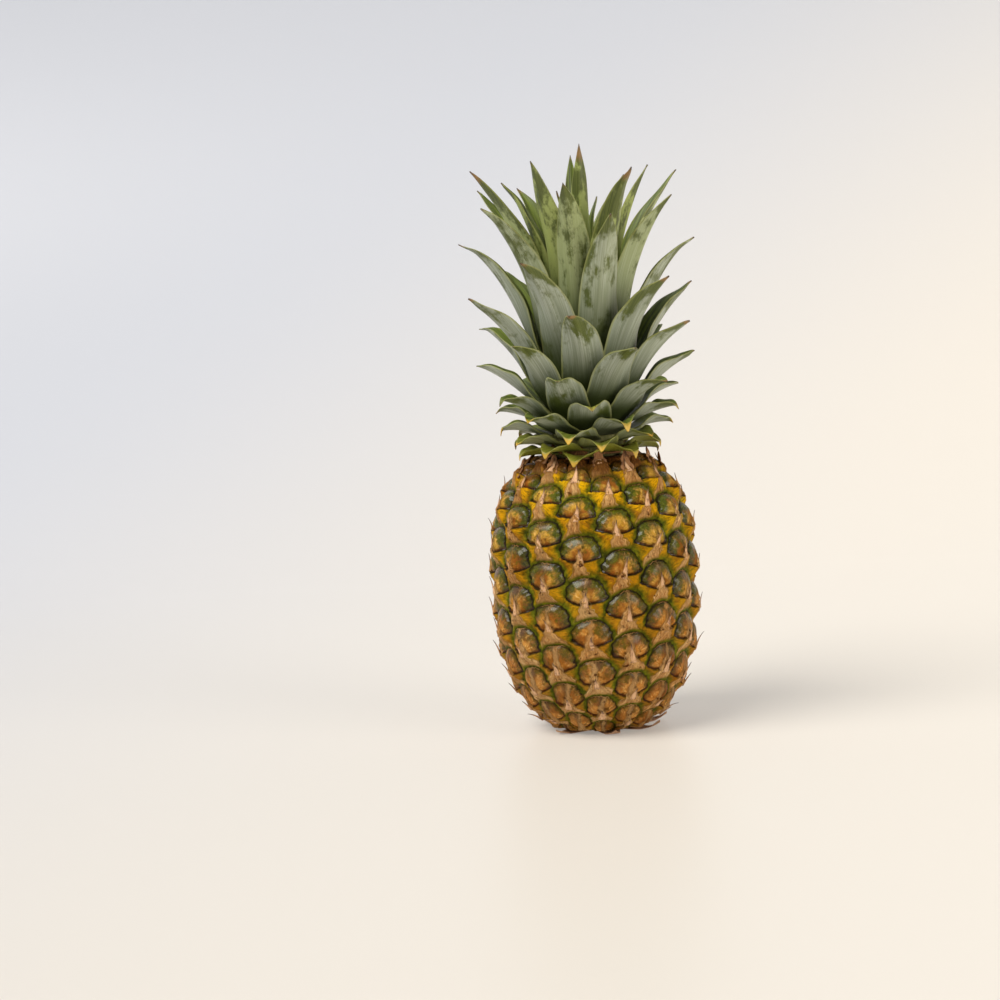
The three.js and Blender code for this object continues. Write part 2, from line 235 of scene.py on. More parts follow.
def swing(tree, value, reach):
    """A noise value of about one half, turned into one about zero and scaled."""
    return times(tree, reckon(tree, "SUBTRACT", value, 0.5), reach)


def ease(tree, value, low, high):
    """0 below low, 1 above high and a smooth step between them."""
    inputs = {"Value": value, "From Min": low, "From Max": high}
    return put(tree, "ShaderNodeMapRange", inputs, interpolation_type="SMOOTHSTEP").outputs["Result"]


def mix(tree, share, first, second, mode="MIX"):
    inputs = {0: share, 6: first, 7: second}
    return put(tree, "ShaderNodeMix", inputs, data_type="RGBA", blend_type=mode).outputs[2]


def coordinates(tree, x, y, z):
    return put(tree, "ShaderNodeCombineXYZ", {0: x, 1: y, 2: z}).outputs[0]


def blotches(tree, where, scale, detail=3.0, rough=0.55):
    inputs = {"Vector": where, "Scale": scale, "Detail": detail, "Roughness": rough}
    return put(tree, "ShaderNodeTexNoise", inputs).outputs["Fac"]


def new_material(name):
    """A material with its node tree and its own shader, ready to be wired."""
    material = bpy.data.materials.new(name)
    material.use_nodes = True
    return material, material.node_tree, material.node_tree.nodes["Principled BSDF"]


def fibres_group():
    """Lengthwise fibres of rind, leaf, stalk and bract: fine streaks and broader soft bands."""
    group = bpy.data.node_groups.new("plant fibres", "ShaderNodeTree")
    for name in ("Across", "Along", "Seed", "Fineness"):
        group.interface.new_socket(name=name, in_out="INPUT", socket_type="NodeSocketFloat")
    for name in ("Streak", "Band"):
        group.interface.new_socket(name=name, in_out="OUTPUT", socket_type="NodeSocketFloat")
    given = put(group, "NodeGroupInput").outputs
    across = times(group, given["Across"], given["Fineness"])
    streak = blotches(group, coordinates(group, across, given["Along"], given["Seed"]), 1.0, 4.0, 0.6)
    broad = times(group, across, 0.22)
    band = blotches(group, coordinates(group, broad, given["Along"], given["Seed"]), 1.0, 2.0, 0.5)
    put(group, "NodeGroupOutput", {"Streak": streak, "Band": band})
    return group


plant_fibres = fibres_group()


def fibres(tree, across, along, seed, fineness):
    inputs = {"Across": across, "Along": along, "Seed": seed, "Fineness": fineness}
    made = put(tree, "ShaderNodeGroup", inputs, node_tree=plant_fibres)
    return made.outputs["Streak"], made.outputs["Band"]


def rind_values(tree):
    """What the rind's colours are worked out from: its place on the eye, its blotches and its fibres."""
    names = ("field", "side", "drop", "rim", "valley", "paper", "tone", "rise")
    skin = {name: surface_value(tree, "eye_" + name) for name in names}
    here = put(tree, "ShaderNodeTexCoord").outputs["Object"]
    skin["mottle"] = blotches(tree, here, 260.0, 5.0, 0.65)
    skin["grain"] = blotches(tree, here, 1000.0, 3.0, 0.6)
    skin["patches"] = blotches(tree, here, 90.0, 3.0, 0.6)
    seed = times(tree, skin["tone"], 40.0)
    angle = reckon(tree, "ARCTAN2", reckon(tree, "SUBTRACT", skin["drop"], 1.5), skin["side"])
    on_eye = coordinates(tree, skin["side"], skin["drop"], 0.0)
    reach = put(tree, "ShaderNodeVectorMath", {0: on_eye}, operation="LENGTH").outputs["Value"]
    skin["streak"], skin["band"] = fibres(tree, angle, times(tree, reach, 0.3), seed, 14.0)
    fan = reckon(tree, "ARCTAN2", skin["side"], reckon(tree, "SUBTRACT", 11.0, skin["drop"]))
    skin["thread"], _ = fibres(tree, fan, times(tree, skin["drop"], 0.12), seed, 34.0)
    return skin


def dome_colour(tree, skin):
    """Tan in the middle and green towards the rim, greener high on the fruit and browner low on it, with
    painted shade darkening the crease.
    """
    rise = skin["rise"]
    mottle = skin["mottle"]
    middle = mix(tree, ease(tree, rise, 0.25, 0.95), paint("#c28447"), paint("#c6a545"))
    middle = mix(tree, ease(tree, skin["streak"], 0.48, 0.66), middle, paint("#e6bd84"))
    middle = mix(tree, times(tree, ease(tree, skin["streak"], 0.42, 0.3), 0.7), middle, paint("#7d4e20"))
    middle = mix(tree, ease(tree, skin["patches"], 0.44, 0.6), middle, paint("#95602a"))
    middle = mix(tree, ease(tree, mottle, 0.52, 0.66), middle, paint("#6f4a1e"))
    green = mix(tree, ease(tree, mottle, 0.3, 0.7), paint("#3a420b"), paint("#70731f"))
    green = mix(tree, times(tree, ease(tree, rise, 0.6, 0.95), 0.6), green, paint("#5f7412"))
    green = mix(tree, ease(tree, rise, 0.1, 0.7), paint("#70590f"), green)
    rim = reckon(tree, "ADD", skin["rim"], swing(tree, mottle, 0.9))
    rim = reckon(tree, "ADD", rim, swing(tree, skin["band"], 0.5))
    rim = reckon(tree, "SUBTRACT", rim, times(tree, ease(tree, rise, 0.6, 0.15), 0.2))
    dome = mix(tree, ease(tree, rim, 0.46, 0.86), middle, green)
    midline = ease(tree, reckon(tree, "ABSOLUTE", skin["side"]), 5.0, 1.0)
    scar = times(tree, midline, ease(tree, skin["rim"], 0.5, 0.8))
    dome = mix(tree, times(tree, scar, ease(tree, skin["tone"], 0.2, 0.9)), dome, paint("#755640"))
    # painted shade: the crease under each dome is darkened to deep brown
    return mix(tree, ease(tree, skin["drop"], 2.3, 0.4), dome, paint("#51270d"))


def bract_colour(tree, skin):
    """Golden by the crease and olive in the valleys between the eyes, the bract's own green darkened there
    as painted shade.
    """
    gold = mix(tree, ease(tree, skin["rise"], 0.1, 0.6), paint("#ab7a33"), paint("#c09012"))
    gold = mix(tree, ease(tree, skin["rise"], 0.6, 0.95), gold, paint("#e3b409"))
    gold = mix(tree, ease(tree, skin["streak"], 0.46, 0.66), gold, paint("#857010"))
    gold = mix(tree, ease(tree, skin["patches"], 0.5, 0.68), gold, paint("#9c6a1c"))
    # olive in the valleys: partly the bract's own green, partly painted shade in the valleys
    olive_and_shade = mix(tree, ease(tree, skin["mottle"], 0.3, 0.7), paint("#3d450a"), paint("#6f7718"))
    edge = reckon(tree, "ADD", skin["valley"], swing(tree, skin["mottle"], 4.0))
    return mix(tree, ease(tree, edge, 4.6, 0.9), gold, olive_and_shade)


def paper_strip(tree, skin):
    """Where the papery strip that ends in the spine lies, and its colour: dry fibres with dark pits."""
    frayed = reckon(tree, "ADD", skin["paper"], swing(tree, skin["thread"], 5.0))
    frayed = reckon(tree, "ADD", frayed, times(tree, ease(tree, skin["rise"], 0.75, 0.2), 1.6))
    on_bract = ease(tree, skin["valley"], 0.8, 3.0)
    on_dome = ease(tree, skin["field"], -0.2, 0.2)
    strip = times(tree, ease(tree, frayed, -0.7, 0.8), reckon(tree, "MAXIMUM", on_bract, on_dome))
    paper = mix(tree, ease(tree, skin["thread"], 0.34, 0.66), paint("#b57f56"), paint("#efc9a2"))
    return strip, mix(tree, ease(tree, skin["mottle"], 0.56, 0.68), paper, paint("#5c361c"))


def rind_material():
    material, tree, shader = new_material("rind")
    skin = rind_values(tree)
    strip, paper = paper_strip(tree, skin)
    on_dome = ease(tree, skin["field"], -0.3, 0.3)
    rind = mix(tree, on_dome, bract_colour(tree, skin), dome_colour(tree, skin))
    rind = mix(tree, strip, rind, paper)

    # the shoulder under the crown is brown and dry
    shoulder = reckon(tree, "ADD", skin["rise"], swing(tree, skin["patches"], 0.12))
    brown = mix(tree, ease(tree, skin["streak"], 0.35, 0.7), paint("#5e3a1c"), paint("#9a6c3e"))
    rind = mix(tree, ease(tree, shoulder, 0.925, 0.985), rind, brown)

    # painted shade darkens the groove round each dome and its crease, weaker under the paper and low on the
    # fruit
    groove_shade = ease(tree, reckon(tree, "ABSOLUTE", skin["field"]), 0.95, 0.1)
    groove_shade = times(tree, groove_shade, reckon(tree, "SUBTRACT", 0.92, times(tree, strip, 0.8)))
    groove_shade = times(tree, groove_shade, ease(tree, skin["rise"], -0.3, 0.6))
    rind = mix(tree, groove_shade, rind, paint("#21200a"))
    tint = mix(tree, skin["tone"], paint("#f2dda8"), paint("#fffad2"))
    rind = mix(tree, 1.0, rind, tint, "MULTIPLY")
    freckles = times(tree, ease(tree, skin["grain"], 0.6, 0.72), 0.45)
    rind = mix(tree, freckles, rind, paint("#4f3a14"))
    tree.links.new(rind, shader.inputs["Base Color"])

    # the green rims are waxy and shine, and the paper is dull
    gloss = times(tree, ease(tree, skin["field"], -0.3, 0.5), ease(tree, skin["rim"], 0.5, 0.85))
    gloss = times(tree, gloss, reckon(tree, "SUBTRACT", 1.0, strip))
    gloss = times(tree, gloss, ease(tree, skin["rise"], -0.2, 0.7))
    tree.links.new(reckon(tree, "SUBTRACT", 0.6, times(tree, gloss, 0.34)), shader.inputs["Roughness"])
    tree.links.new(times(tree, gloss, 0.6), shader.inputs["Coat Weight"])
    shader.inputs["Coat Roughness"].default_value = 0.26
    shader.inputs["Specular IOR Level"].default_value = 0.06
    beads = times(tree, ease(tree, skin["grain"], 0.42, 0.58), times(tree, gloss, 1.8))
    threads = times(tree, skin["thread"], times(tree, strip, 2.0))
    height = times(tree, reckon(tree, "ADD", skin["streak"], skin["mottle"]), 0.9)
    height = reckon(tree, "ADD", height, reckon(tree, "ADD", beads, threads))
    bump = put(tree, "ShaderNodeBump", {"Strength": 0.9, "Distance": 0.001, "Height": height})
    tree.links.new(bump.outputs["Normal"], shader.inputs["Normal"])
    return material


def fruit_skin():
    """The rind as one closed mesh: a grid over each eye's cell, joined along the lattice."""
    steps = EYE_STEPS
    corners = []
    half = steps // 2
    for pair in range(LOWEST_PAIR, HIGHEST_PAIR + 1):
        for side in (0, 1):
            a, b = eye_place(pair, side)
            corners.append((a * steps - half, b * steps - half))
    i, j = np.meshgrid(np.arange(steps), np.arange(steps), indexing="ij")
    left, low = np.array(corners).T
    quads = []
    for di, dj in ((0, 0), (0, 1), (1, 1), (1, 0)):
        across = left[:, None, None] + i + di
        along = low[:, None, None] + j + dj
        # ten steps of a and six back of b lead once round the fruit
        rounds = across // (10 * steps)
        across = across - rounds * 10 * steps
        along = along + rounds * 6 * steps
        quads.append(np.stack([across, along], axis=-1).reshape(-1, 2))
    places, index = np.unique(np.concatenate(quads), axis=0, return_inverse=True)
    faces = index.reshape(4, -1).T
    eye = eye_fields(places[:, 0] / steps, places[:, 1] / steps)
    points = skin_places(places[:, 0] / steps, places[:, 1] / steps, rind_relief(eye))
    edges = np.concatenate([np.stack([faces[:, k], faces[:, (k + 1) % 4]], axis=1) for k in range(4)])
    known = set(map(tuple, edges.tolist()))
    rims = [(p, q) for p, q in known if (q, p) not in known]
    lowest, highest = len(points), len(points) + 1
    points = np.concatenate([points, [[0, 0, FRUIT_FLOOR], [0, 0, CROWN_SEAT_Z]]])
    caps = [(q, p, lowest if points[p][2] < WIDEST_Z else highest) for p, q in sorted(rims)]
    fields = {
        "eye_field": eye["field"],
        "eye_side": eye["side"],
        "eye_drop": eye["drop"],
        "eye_rim": eye["rim"],
        "eye_valley": eye["valley"],
        "eye_paper": eye["paper"],
        "eye_tone": chance(eye["number"], 3),
        "eye_rise": points[:-2, 2] / CROWN_SEAT_Z,
    }
    fields = {name: np.concatenate([values, [0, 0]]) for name, values in fields.items()}
    return points, faces.tolist() + caps, fields


rind = mesh_piece("fruit_rind", *fruit_skin(), rind_material())
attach(rind, "root")
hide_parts("fruit")

# Each eye's bract ends in a dry spine that rises from the middle of the crease and lies over the dome.
# It is one fibre-backed blade, broad and papery at its foot and drawn out to a hair at its tip.
LOWEST_SPINE = -41
HIGHEST_SPINE = 17
SPINE_SHORTEST = 8
SPINE_SPREAD = 5
SPINE_HALF_WIDTH = 1.5
SPINE_SEAT = 2.3
SPINE_STATIONS = 10
SPINE_SIDES = 6


def beside(a, b, across, radius):
    """Lattice steps a and b moved sideways by across, level round the fruit at that radius."""
    step = across / radius / (5 * TURN_A - 3 * TURN_B)
    return a + 5 * step, b - 3 * step


def spine_material():
    material, tree, shader = new_material("dry spine")
    along = surface_value(tree, "spine_along")
    around = surface_value(tree, "spine_around")
    tone = surface_value(tree, "spine_tone")
    seed = times(tree, tone, 60.0)
    streak, _ = fibres(tree, around, times(tree, along, 1.5), seed, 5.0)
    straw = mix(tree, ease(tree, streak, 0.4, 0.7), paint("#e2b68a"), paint("#a6754c"))
    straw = mix(tree, times(tree, tone, 0.6), straw, paint("#c29263"))
    stain = blotches(tree, put(tree, "ShaderNodeTexCoord").outputs["Object"], 420.0, 4.0, 0.6)
    straw = mix(tree, ease(tree, stain, 0.5, 0.7), straw, paint("#6f452a"))
    brown = mix(tree, ease(tree, along, 0.5, 0.95), straw, paint("#452a16"))
    tree.links.new(brown, shader.inputs["Base Color"])
    bump = put(tree, "ShaderNodeBump", {"Strength": 0.5, "Distance": 0.0004, "Height": streak})
    tree.links.new(bump.outputs["Normal"], shader.inputs["Normal"])
    shader.inputs["Roughness"].default_value = 0.72
    return material


def spine_mesh():
    """All the spines in one mesh: flat at the foot, sunk in the papery strip, and round at the tip."""
    share = np.linspace(0, 1, SPINE_STATIONS + 1)[:, None]
    turn = np.linspace(0, 2 * math.pi, SPINE_SIDES, endpoint=False)[None, :]
    points, faces = [], []
    fields = {"spine_along": [], "spine_around": [], "spine_tone": []}
    for pair in range(LOWEST_SPINE, HIGHEST_SPINE + 1):
        for side in (0, 1):
            number = 2 * pair + side
            a, b = eye_place(pair, side)
            place = np.interp(pair, barrel_pair, barrel_r) / FRUIT_RADIUS
            length = (SPINE_SHORTEST + SPINE_SPREAD * chance(number, 4)) * (0.5 + 0.5 * place)
            lean = 0.5 * (chance(number, 5) - 0.5) * length + 3 * (chance(number, 6) - 0.5) * share ** 2
            half = (SPINE_HALF_WIDTH + 0.6 * chance(number, 8)) * (1 - share) ** 1.15 + 0.14
            across = half * np.cos(turn) + lean * share
            thick = 0.45 * (1 - share) + 0.13
            lift = (0.3 + 2.4 * chance(number, 9) ** 2) * share ** 3
            out = SPINE_SEAT + 0.9 * share + lift + thick * np.sin(turn)
            a, b = beside(a, b, across, FRUIT_RADIUS * place)
            up = -1.5 + length * share + 0 * turn
            first = len(points) * share.size * SPINE_SIDES
            points.append(skin_places(a, b, out, up).reshape(-1, 3))
            fields["spine_along"] += list((share + 0 * turn).ravel())
            fields["spine_around"] += list((np.cos(turn) + 0 * share).ravel())
            fields["spine_tone"] += [chance(number, 7)] * (share.size * SPINE_SIDES)
            for k in range(SPINE_STATIONS):
                for m in range(SPINE_SIDES):
                    p = first + k * SPINE_SIDES + m
                    q = first + k * SPINE_SIDES + (m + 1) % SPINE_SIDES
                    faces.append((p, q, q + SPINE_SIDES, p + SPINE_SIDES))
            last = first + SPINE_STATIONS * SPINE_SIDES
            faces.append(tuple(first + m for m in reversed(range(SPINE_SIDES))))
            faces.append(tuple(last + m for m in range(SPINE_SIDES)))
    return np.concatenate(points), faces, fields


spines = mesh_piece("eye_spines", *spine_mesh(), spine_material())
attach(spines, "root")
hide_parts("fruit")

# Round the crown seat the highest flowers never filled out: their bracts are withered and brown.
# They are thin papery blades, curled and torn, that stand round the crown's foot.
WITHERED_FROM = 12
WITHERED_LENGTH = 17
WITHERED_WIDTH = 9
WITHERED_TOP = 169
WITHERED_STATIONS = 14
WITHERED_COLUMNS = 9


def blade_mesh(upper, lower):
    """A closed blade between two grids of points, stations by width, and the faces that close it."""
    stations, width, _ = upper.shape
    rings = np.concatenate([upper, lower[:, ::-1]], axis=1)
    count = 2 * width
    faces = []
    for k in range(stations - 1):
        for m in range(count):
            p, q = k * count + m, k * count + (m + 1) % count
            faces.append((p, p + count, q + count, q))
    last = (stations - 1) * count
    for m in range(width - 1):
        faces.append((m, m + 1, count - 2 - m, count - 1 - m))
        faces.append((last + count - 1 - m, last + count - 2 - m, last + m + 1, last + m))
    return rings.reshape(-1, 3), faces


def join_blades(blades):
    """One mesh of many blades, with the fibre values that their material reads."""
    points, faces = np.zeros((0, 3)), []
    fields = {"fibre_across": [], "fibre_along": [], "fibre_tone": []}
    for number, (upper, lower) in enumerate(blades):
        more_points, more_faces = blade_mesh(upper, lower)
        faces += [tuple(len(points) + p for p in f) for f in more_faces]
        points = np.concatenate([points, more_points])
        stations, width, _ = upper.shape
        across = np.linspace(-1, 1, width)
        fields["fibre_across"] += list(np.tile(np.concatenate([across, across[::-1]]), stations))
        fields["fibre_along"] += list(np.repeat(np.linspace(0, 2, stations), 2 * width))
        fields["fibre_tone"] += [chance(number, 8)] * (2 * width * stations)
    return points, faces, fields


def dry_material(name, pale, dark, stained):
    material, tree, shader = new_material(name)
    across = surface_value(tree, "fibre_across")
    along = surface_value(tree, "fibre_along")
    tone = surface_value(tree, "fibre_tone")
    streak, band = fibres(tree, across, along, times(tree, tone, 30.0), 14.0)
    here = put(tree, "ShaderNodeTexCoord").outputs["Object"]
    stain = blotches(tree, here, 140.0, 4.0, 0.6)
    colour = mix(tree, ease(tree, streak, 0.35, 0.7), paint(dark), paint(pale))
    colour = mix(tree, ease(tree, stain, 0.5, 0.72), colour, paint(stained))
    tree.links.new(colour, shader.inputs["Base Color"])
    height = reckon(tree, "ADD", streak, times(tree, band, 0.6))
    bump = put(tree, "ShaderNodeBump", {"Strength": 0.6, "Distance": 0.0006, "Height": height})
    tree.links.new(bump.outputs["Normal"], shader.inputs["Normal"])
    shader.inputs["Roughness"].default_value = 0.85
    return material


def withered_blades():
    share = np.linspace(0, 1, WITHERED_STATIONS)[:, None]
    v = np.linspace(-1, 1, WITHERED_COLUMNS)[None, :]
    for pair in range(WITHERED_FROM, HIGHEST_PAIR + 1):
        for side in (0, 1):
            number = 2 * pair + side
            a, b = eye_place(pair, side)
            radius = np.interp(pair, barrel_pair, barrel_r)
            length = WITHERED_LENGTH * (0.6 + 0.5 * chance(number, 12))
            half = WITHERED_WIDTH / 2 * (0.8 + 0.5 * chance(number, 13)) * (1 - share ** 2.2) + 0.3
            torn = 1 + 0.16 * np.sin(17 * share + 5 * number) * np.abs(v)
            across = half * v * torn + 3 * (chance(number, 14) - 0.5) * share ** 2
            curl = 4.8 * (chance(number, 15) - 0.15) * share ** 2
            rough = 0.5 * np.sin(9 * share + 4 * v + number) * share
            out = 1.2 + 1.6 * share + curl + rough + 0.9 * v ** 2 * share
            a, b = beside(a, b, across, radius)
            up = -2 + length * share * (1 - 0.25 * share) + 0 * v
            thick = 0.35 * (1 - 0.5 * share)
            yield [skin_places(a, b, out + lift, up, WITHERED_TOP) for lift in (thick, -thick)]


withered = mesh_piece("withered_bracts", *join_blades(withered_blades()),
                      dry_material("withered bract", "#b48250", "#744826", "#452813"))
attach(withered, "root")
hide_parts("fruit")

# The stalk is the woody stub that the fruit grew on, cut flush with the base that it stands on.
# A star of dry papery bracts grows from its rim and lies under the fruit.
STALK_RADIUS = 13.5
STALK_HEIGHT = 9
STALK_SIDES = 72
BRACT_COUNT = 7
BRACT_WIDTH = 15
BRACT_THICKNESS = 0.9
BRACT_STATIONS = 24
BRACT_COLUMNS = 11
BRACT_ROUTE = [(10, 0), (22, 0), (30, 0), (36, 1.4), (41, 4.6)]
GOLDEN = 0.6180339887


def scatter(number, kind):
    """Even scatter from -1 to 1 for piece number, the same on every run."""
    share = (number + 1) * GOLDEN + kind * 0.37
    return 2 * (share - np.floor(share)) - 1


def stalk_mesh():
    """A stub turned from a short profile, ragged at its cut rim."""
    profile = [
        (0, 0.15),
        (4, 0.1),
        (9, 0),
        (STALK_RADIUS - 1.7, 0),
        (STALK_RADIUS - 0.7, 0.5),
        (STALK_RADIUS - 0.1, 1.8),
        (STALK_RADIUS, 5),
        (STALK_RADIUS - 0.3, STALK_HEIGHT - 0.3),
        (6, STALK_HEIGHT - 0.1),
    ]
    sides = STALK_SIDES
    points, faces, across, along, tone = [], [], [], [], []
    for k, (radius, z) in enumerate(profile):
        for m in range(sides):
            turn = 2 * math.pi * m / sides
            rough = 0.25 * math.sin(9 * turn) + 0.2 * math.sin(23 * turn + 1)
            ragged = radius - abs(rough if 3 <= k <= 5 else 0)
            points.append((ragged * math.sin(turn), -ragged * math.cos(turn), z))
            across.append(math.sin(turn * 3) * 2)
            along.append(radius * 0.12 + z * 0.1)
            tone.append(0.5)
    for k in range(len(profile) - 1):
        for m in range(sides):
            p, q = k * sides + m, k * sides + (m + 1) % sides
            faces.append((p, p + sides, q + sides, q))
    faces.append(tuple(len(points) - sides + m for m in range(sides)))
    return points, faces, {"fibre_across": across, "fibre_along": along, "fibre_tone": tone}


def bract_blades():
    share = np.linspace(0, 1, BRACT_STATIONS)[:, None]
    v = np.linspace(-1, 1, BRACT_COLUMNS)[None, :]
    knots = np.linspace(0, 1, len(BRACT_ROUTE))
    for number in range(BRACT_COUNT):
        reach = share * (0.9 + 0.1 * scatter(number, 2))
        radius = np.interp(reach, knots, [r for r, _ in BRACT_ROUTE])
        z = np.interp(reach, knots, [h for _, h in BRACT_ROUTE])
        half = BRACT_WIDTH / 2 * (1 - share ** 1.4) + 0.2
        azimuth = math.radians(360 / BRACT_COUNT * (number + 0.2 * scatter(number, 1)))
        turned = azimuth + v * half / radius
        curl = smooth(share, 0.55, 1) * (0.5 * v ** 2 + 0.35 * np.sin(9 * share + number + 2 * v))
        low = np.maximum(0, z + curl)
        high = low + BRACT_THICKNESS * (1 - 0.45 * v ** 2)
        x = radius * np.sin(turned)
        y = -radius * np.cos(turned)
        yield [np.stack([x, y, face], axis=-1) for face in (high, low)]


stub = mesh_piece("stalk_stub", *stalk_mesh(), dry_material("cut stalk", "#d9c29c", "#a98a62", "#8a6a48"))
bracts = mesh_piece("stalk_bracts", *join_blades(bract_blades()),
                    dry_material("papery bract", "#c79f7c", "#94694a", "#6f4a2e"))
for piece in (stub, bracts):
    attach(piece, "root")
    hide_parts("stalk")

# The crown's stem is a short fleshy spindle that grew on through the fruit and tapers to its top.
# Every leaf of the crown grows from it, and their roots hide it.
STEM_RADIUS = 21
STEM_REACH = 63
STEM_POWER = 1.8
STEM_HEIGHT = 58
STEM_SIDES = 48
STEM_RINGS = 16
FIT_GAP = 0.3


def stem_radius(height):
    return STEM_RADIUS * (1 - (height / STEM_REACH) ** STEM_POWER)


def stem_core():
    """The spindle that the leaves grow from, a turned body hidden among their roots."""
    sides = STEM_SIDES
    rings = STEM_RINGS
    heights = np.linspace(FIT_GAP, STEM_HEIGHT, rings)
    points, faces = [], []
    for height in heights:
        for m in range(sides):
            turn = 2 * math.pi * m / sides
            radius = stem_radius(height)
            points.append((radius * math.sin(turn), -radius * math.cos(turn), CROWN_SEAT_Z + height))
    for k in range(rings - 1):
        for m in range(sides):
            p, q = k * sides + m, k * sides + (m + 1) % sides
            faces.append((p, q, q + sides, p + sides))
    faces.append(tuple(reversed(range(sides))))
    faces.append(tuple(len(points) - sides + m for m in range(sides)))
    count = len(points)
    turns = np.tile(np.sin(3 * np.linspace(0, 2 * math.pi, sides, endpoint=False)), rings)
    fields = {"fibre_across": turns, "fibre_along": np.zeros(count), "fibre_tone": np.full(count, 0.4)}
    return points, faces, fields


core = mesh_piece("crown_core", *stem_core(), dry_material("crown stem", "#b9b07a", "#7f8248", "#6a6a34"))
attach(core, "root")
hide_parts("crown_stem")

# The leaves are stiff channelled blades that grow from the stem in a rosette, the short lowest ones first.
# Each is fibrous and waxy, silver outside and darker green inside, and dry or hooked at its tip.
LEAF_DIVERGENCE = 68.2
LEAF_RANKS = 36
COLLAR_RANKS = 8
FRONT_RANK = 13
FRONT_AZIMUTH = 2.5
LOWEST_ROOT = 1.5
ROOT_RISE = 1.15
ROOT_DEPTH = 5
ROOT_PULL = 0.4
ROOT_CLEARANCE = 1.06
WIDEST_AT = 0.4
WRAP = 1.1
COLLAR_WRAP = 1.5
CHANNEL = 0.22
ROOT_THICKNESS = 0.9
BLADE_THICKNESS = 1.7
EDGE_THICKNESS = 0.7
TIP_WIDTH = 0.9
AZIMUTH_SPREAD = 3
REACH_SPREAD = 0.05
BEND_SPREAD = 7
LEAF_FORMS = np.array([
    # rank, tip radius, tip rise, root angle, tip angle, tip pull, width, taper
    (0, 41, -1, 12, -32, 0.2, 22, 1.3),
    (8, 49, 13, 26, -18, 0.2, 24, 1.3),
    (13, 57, 31, 40, -2, 0.2, 25, 1.4),
    (18, 65, 61, 52, 14, 0.22, 25, 1.7),
    (22, 69, 93, 62, 30, 0.28, 26, 2),
    (26, 67, 137, 73, 40, 0.34, 26, 2.1),
    (30, 61, 162, 80, 48, 0.36, 24, 2.1),
    (33, 42, 165, 85, 62, 0.36, 22, 2.1),
    (34, 18, 175, 88, 80, 0.36, 21, 2),
    (35, 12, 148, 89, 82, 0.36, 11, 2),
])
TIP_CURL = 4.5
DROOPING_RANKS = 15
RUFFLE = 0.45
TWIST = 0.05
KEEL = 0.22
LEAF_STATIONS = 44
LEAF_COLUMNS = 13


def heading(angle):
    return np.array([math.cos(math.radians(angle)), math.sin(math.radians(angle))])


